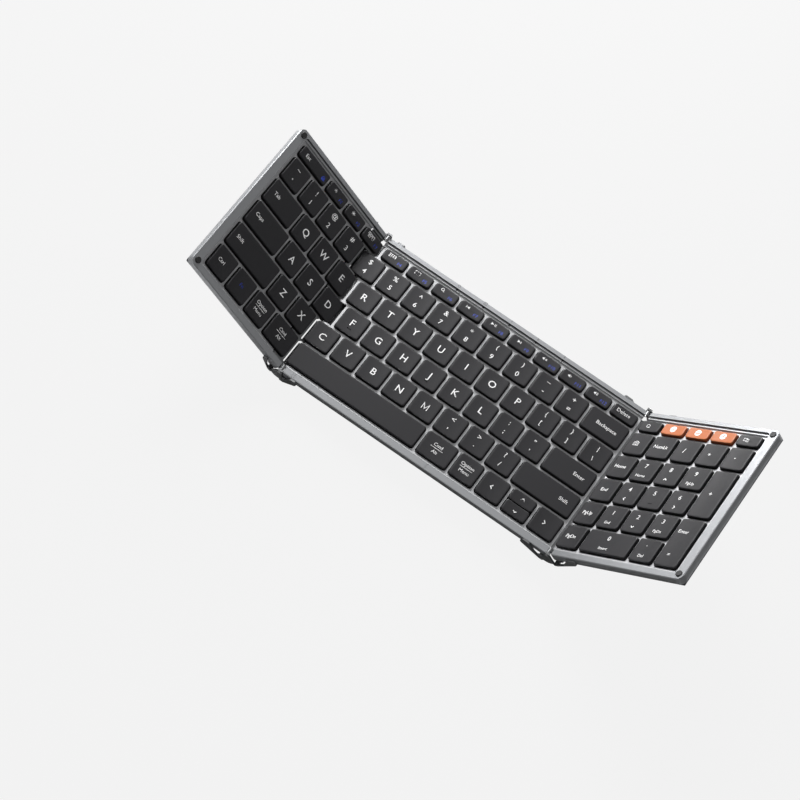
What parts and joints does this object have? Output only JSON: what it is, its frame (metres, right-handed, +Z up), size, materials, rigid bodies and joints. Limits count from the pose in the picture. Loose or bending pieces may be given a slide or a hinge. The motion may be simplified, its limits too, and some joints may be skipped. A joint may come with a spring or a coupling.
{
  "type": "folding keyboard",
  "caption": "Slim full-size keyboard in three panels with staggered scissor keys in metal rims; both side panels fold over the middle one on pinned end hinges.",
  "frame": {"origin": "on the floor under the centre of the object's box in the stored pose", "axes": "+X towards the number pad, along the key rows; +Y away from the user, towards the function row; +Z up"},
  "size_m": [0.3474, 0.1216, 0.0798],
  "materials": {
    "rim_metal": "satin anodised, polished outer edge",
    "deck_metal": "satin anodised",
    "cover_metal": "fine blasted, anodised slate gray",
    "hinge_metal": "satin, polished edges",
    "pin_steel": "polished",
    "plate_steel": "plain",
    "dome_film": "matt",
    "foot_rubber": "matt",
    "battery_foil": "satin",
    "board": "plain",
    "port_steel": "satin",
    "light_guide": "smooth",
    "black_key": "fine matt texture",
    "orange_key": "fine matt texture"
  },
  "bodies": {
    "base": {"center_rails": "rim_metal", "center_deck": "deck_metal", "center_bottom_cover": "cover_metal", "center_switch_plate": "plate_steel", "center_dome_sheet": "dome_film", "center_hinge_brackets": "hinge_metal", "hinge_pins": "pin_steel", "center_feet": "foot_rubber", "battery": "battery_foil", "main_board": "board", "usb_c_port": "port_steel", "status_light_guides": "light_guide"},
    "left_panel": {"left_frame": "rim_metal", "left_deck": "deck_metal", "left_bottom_cover": "cover_metal", "left_switch_plate": "plate_steel", "left_dome_sheet": "dome_film", "left_hinge_bracket": "hinge_metal", "left_bumpers": "foot_rubber", "left_feet": "foot_rubber"},
    "right_panel": {"right_frame": "rim_metal", "right_deck": "deck_metal", "right_bottom_cover": "cover_metal", "right_switch_plate": "plate_steel", "right_dome_sheet": "dome_film", "right_hinge_bracket": "hinge_metal", "right_bumpers": "foot_rubber", "right_feet": "foot_rubber"},
    "left_function_keys": {"left_function_keys": "black_key"},
    "left_number_keys": {"left_number_keys": "black_key"},
    "tab_key": {"tab_key": "black_key"},
    "q_row_left_keys": {"q_row_left_keys": "black_key"},
    "caps_key": {"caps_key": "black_key"},
    "a_row_left_keys": {"a_row_left_keys": "black_key"},
    "left_shift_key": {"left_shift_key": "black_key"},
    "z_row_left_keys": {"z_row_left_keys": "black_key"},
    "left_bottom_keys": {"left_bottom_keys": "black_key"},
    "center_function_keys": {"center_function_keys": "black_key"},
    "center_number_keys": {"center_number_keys": "black_key"},
    "backspace_key": {"backspace_key": "black_key"},
    "q_row_center_keys": {"q_row_center_keys": "black_key"},
    "a_row_center_keys": {"a_row_center_keys": "black_key"},
    "enter_key": {"enter_key": "black_key"},
    "z_row_center_keys": {"z_row_center_keys": "black_key"},
    "right_shift_key": {"right_shift_key": "black_key"},
    "space_key": {"space_key": "black_key"},
    "center_bottom_keys": {"center_bottom_keys": "black_key"},
    "up_key": {"up_key": "black_key"},
    "down_key": {"down_key": "black_key"},
    "device_keys": {"device_keys": "orange_key"},
    "pad_function_keys": {"pad_function_keys": "black_key"},
    "pad_top_keys": {"pad_top_keys": "black_key"},
    "pad_7_row_keys": {"pad_7_row_keys": "black_key"},
    "pad_4_row_keys": {"pad_4_row_keys": "black_key"},
    "pad_1_row_keys": {"pad_1_row_keys": "black_key"},
    "pad_0_row_keys": {"pad_0_row_keys": "black_key"},
    "pad_plus_key": {"pad_plus_key": "black_key"},
    "pad_enter_key": {"pad_enter_key": "black_key"}
  },
  "joints": [
    {"name": "left_fold", "type": "hinge", "parent": "base", "child": "left_panel", "pos_m": [-0.09728, 0, 0.01035], "axis": [0, 1, 0], "range_deg": [-36.75, 143]},
    {"name": "right_fold", "type": "hinge", "parent": "base", "child": "right_panel", "pos_m": [0.09701, 0, 0.01035], "axis": [0, -1, 0], "range_deg": [-44, 135.75]},
    {"name": "left_function_press", "type": "slide", "parent": "left_panel", "child": "left_function_keys", "axis": [-0.5983, 0, -0.8013], "range_m": [0, 0.0019], "stiffness_N_per_m": 300, "springref_m": -0.001},
    {"name": "left_number_press", "type": "slide", "parent": "left_panel", "child": "left_number_keys", "axis": [-0.5983, 0, -0.8013], "range_m": [0, 0.0019], "stiffness_N_per_m": 300, "springref_m": -0.001},
    {"name": "tab_press", "type": "slide", "parent": "left_panel", "child": "tab_key", "axis": [-0.5983, 0, -0.8013], "range_m": [0, 0.0019], "stiffness_N_per_m": 300, "springref_m": -0.001},
    {"name": "q_row_left_press", "type": "slide", "parent": "left_panel", "child": "q_row_left_keys", "axis": [-0.5983, 0, -0.8013], "range_m": [0, 0.0019], "stiffness_N_per_m": 300, "springref_m": -0.001},
    {"name": "caps_press", "type": "slide", "parent": "left_panel", "child": "caps_key", "axis": [-0.5983, 0, -0.8013], "range_m": [0, 0.0019], "stiffness_N_per_m": 300, "springref_m": -0.001},
    {"name": "a_row_left_press", "type": "slide", "parent": "left_panel", "child": "a_row_left_keys", "axis": [-0.5983, 0, -0.8013], "range_m": [0, 0.0019], "stiffness_N_per_m": 300, "springref_m": -0.001},
    {"name": "left_shift_press", "type": "slide", "parent": "left_panel", "child": "left_shift_key", "axis": [-0.5983, 0, -0.8013], "range_m": [0, 0.0019], "stiffness_N_per_m": 300, "springref_m": -0.001},
    {"name": "z_row_left_press", "type": "slide", "parent": "left_panel", "child": "z_row_left_keys", "axis": [-0.5983, 0, -0.8013], "range_m": [0, 0.0019], "stiffness_N_per_m": 300, "springref_m": -0.001},
    {"name": "left_bottom_press", "type": "slide", "parent": "left_panel", "child": "left_bottom_keys", "axis": [-0.5983, 0, -0.8013], "range_m": [0, 0.0019], "stiffness_N_per_m": 300, "springref_m": -0.001},
    {"name": "center_function_press", "type": "slide", "parent": "base", "child": "center_function_keys", "axis": [0, 0, -1], "range_m": [0, 0.0019], "stiffness_N_per_m": 300, "springref_m": -0.001},
    {"name": "center_number_press", "type": "slide", "parent": "base", "child": "center_number_keys", "axis": [0, 0, -1], "range_m": [0, 0.0019], "stiffness_N_per_m": 300, "springref_m": -0.001},
    {"name": "backspace_press", "type": "slide", "parent": "base", "child": "backspace_key", "axis": [0, 0, -1], "range_m": [0, 0.0019], "stiffness_N_per_m": 300, "springref_m": -0.001},
    {"name": "q_row_center_press", "type": "slide", "parent": "base", "child": "q_row_center_keys", "axis": [0, 0, -1], "range_m": [0, 0.0019], "stiffness_N_per_m": 300, "springref_m": -0.001},
    {"name": "a_row_center_press", "type": "slide", "parent": "base", "child": "a_row_center_keys", "axis": [0, 0, -1], "range_m": [0, 0.0019], "stiffness_N_per_m": 300, "springref_m": -0.001},
    {"name": "enter_press", "type": "slide", "parent": "base", "child": "enter_key", "axis": [0, 0, -1], "range_m": [0, 0.0019], "stiffness_N_per_m": 300, "springref_m": -0.001},
    {"name": "z_row_center_press", "type": "slide", "parent": "base", "child": "z_row_center_keys", "axis": [0, 0, -1], "range_m": [0, 0.0019], "stiffness_N_per_m": 300, "springref_m": -0.001},
    {"name": "right_shift_press", "type": "slide", "parent": "base", "child": "right_shift_key", "axis": [0, 0, -1], "range_m": [0, 0.0019], "stiffness_N_per_m": 300, "springref_m": -0.001},
    {"name": "space_press", "type": "slide", "parent": "base", "child": "space_key", "axis": [0, 0, -1], "range_m": [0, 0.0019], "stiffness_N_per_m": 300, "springref_m": -0.001},
    {"name": "center_bottom_press", "type": "slide", "parent": "base", "child": "center_bottom_keys", "axis": [0, 0, -1], "range_m": [0, 0.0019], "stiffness_N_per_m": 300, "springref_m": -0.001},
    {"name": "up_press", "type": "slide", "parent": "base", "child": "up_key", "axis": [0, 0, -1], "range_m": [0, 0.0019], "stiffness_N_per_m": 300, "springref_m": -0.001},
    {"name": "down_press", "type": "slide", "parent": "base", "child": "down_key", "axis": [0, 0, -1], "range_m": [0, 0.0019], "stiffness_N_per_m": 300, "springref_m": -0.001},
    {"name": "device_press", "type": "slide", "parent": "right_panel", "child": "device_keys", "axis": [0.6947, 0, -0.7193], "range_m": [0, 0.0019], "stiffness_N_per_m": 300, "springref_m": -0.001},
    {"name": "pad_function_press", "type": "slide", "parent": "right_panel", "child": "pad_function_keys", "axis": [0.6947, 0, -0.7193], "range_m": [0, 0.0019], "stiffness_N_per_m": 300, "springref_m": -0.001},
    {"name": "pad_top_press", "type": "slide", "parent": "right_panel", "child": "pad_top_keys", "axis": [0.6947, 0, -0.7193], "range_m": [0, 0.0019], "stiffness_N_per_m": 300, "springref_m": -0.001},
    {"name": "pad_7_row_press", "type": "slide", "parent": "right_panel", "child": "pad_7_row_keys", "axis": [0.6947, 0, -0.7193], "range_m": [0, 0.0019], "stiffness_N_per_m": 300, "springref_m": -0.001},
    {"name": "pad_4_row_press", "type": "slide", "parent": "right_panel", "child": "pad_4_row_keys", "axis": [0.6947, 0, -0.7193], "range_m": [0, 0.0019], "stiffness_N_per_m": 300, "springref_m": -0.001},
    {"name": "pad_1_row_press", "type": "slide", "parent": "right_panel", "child": "pad_1_row_keys", "axis": [0.6947, 0, -0.7193], "range_m": [0, 0.0019], "stiffness_N_per_m": 300, "springref_m": -0.001},
    {"name": "pad_0_row_press", "type": "slide", "parent": "right_panel", "child": "pad_0_row_keys", "axis": [0.6947, 0, -0.7193], "range_m": [0, 0.0019], "stiffness_N_per_m": 300, "springref_m": -0.001},
    {"name": "pad_plus_press", "type": "slide", "parent": "right_panel", "child": "pad_plus_key", "axis": [0.6947, 0, -0.7193], "range_m": [0, 0.0019], "stiffness_N_per_m": 300, "springref_m": -0.001},
    {"name": "pad_enter_press", "type": "slide", "parent": "right_panel", "child": "pad_enter_key", "axis": [0.6947, 0, -0.7193], "range_m": [0, 0.0019], "stiffness_N_per_m": 300, "springref_m": -0.001}
  ]
}
